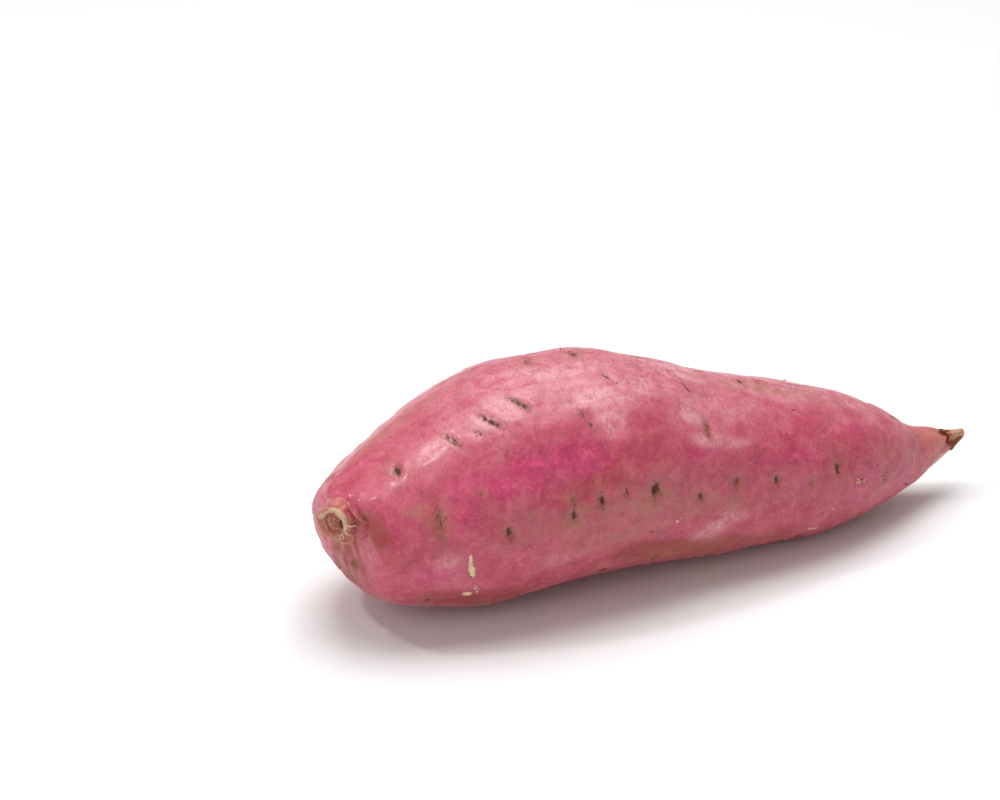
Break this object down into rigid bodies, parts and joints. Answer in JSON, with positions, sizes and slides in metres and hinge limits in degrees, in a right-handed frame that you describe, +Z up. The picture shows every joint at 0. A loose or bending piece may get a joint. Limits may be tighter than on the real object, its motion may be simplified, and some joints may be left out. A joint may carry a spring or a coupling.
{
  "type": "sweet potato",
  "caption": "Whole raw sweet potato lying on its side, with a corky stem scar, rows of eyes and a drawn-out tail.",
  "frame": {"origin": "middle of the bounding box in X and Y, on the surface the root rests on", "axes": "+X along the root from its stem scar to the tip of its tail, +Y to the side away from the eyes that show most, +Z up"},
  "size_m": [0.2016, 0.0654, 0.0649],
  "materials": {
    "skin": "satin magenta-pink skin with paler dusty patches and tan scuffs",
    "scar_cork": "matt pale tan cork of the stem scar",
    "dry_tail": "matt dried red-brown root tip, straw coloured at the very end",
    "rootlet": "matt dry brown fibre"
  },
  "bodies": {
    "root": {"sweet_potato": "skin"}
  },
  "joints": []
}
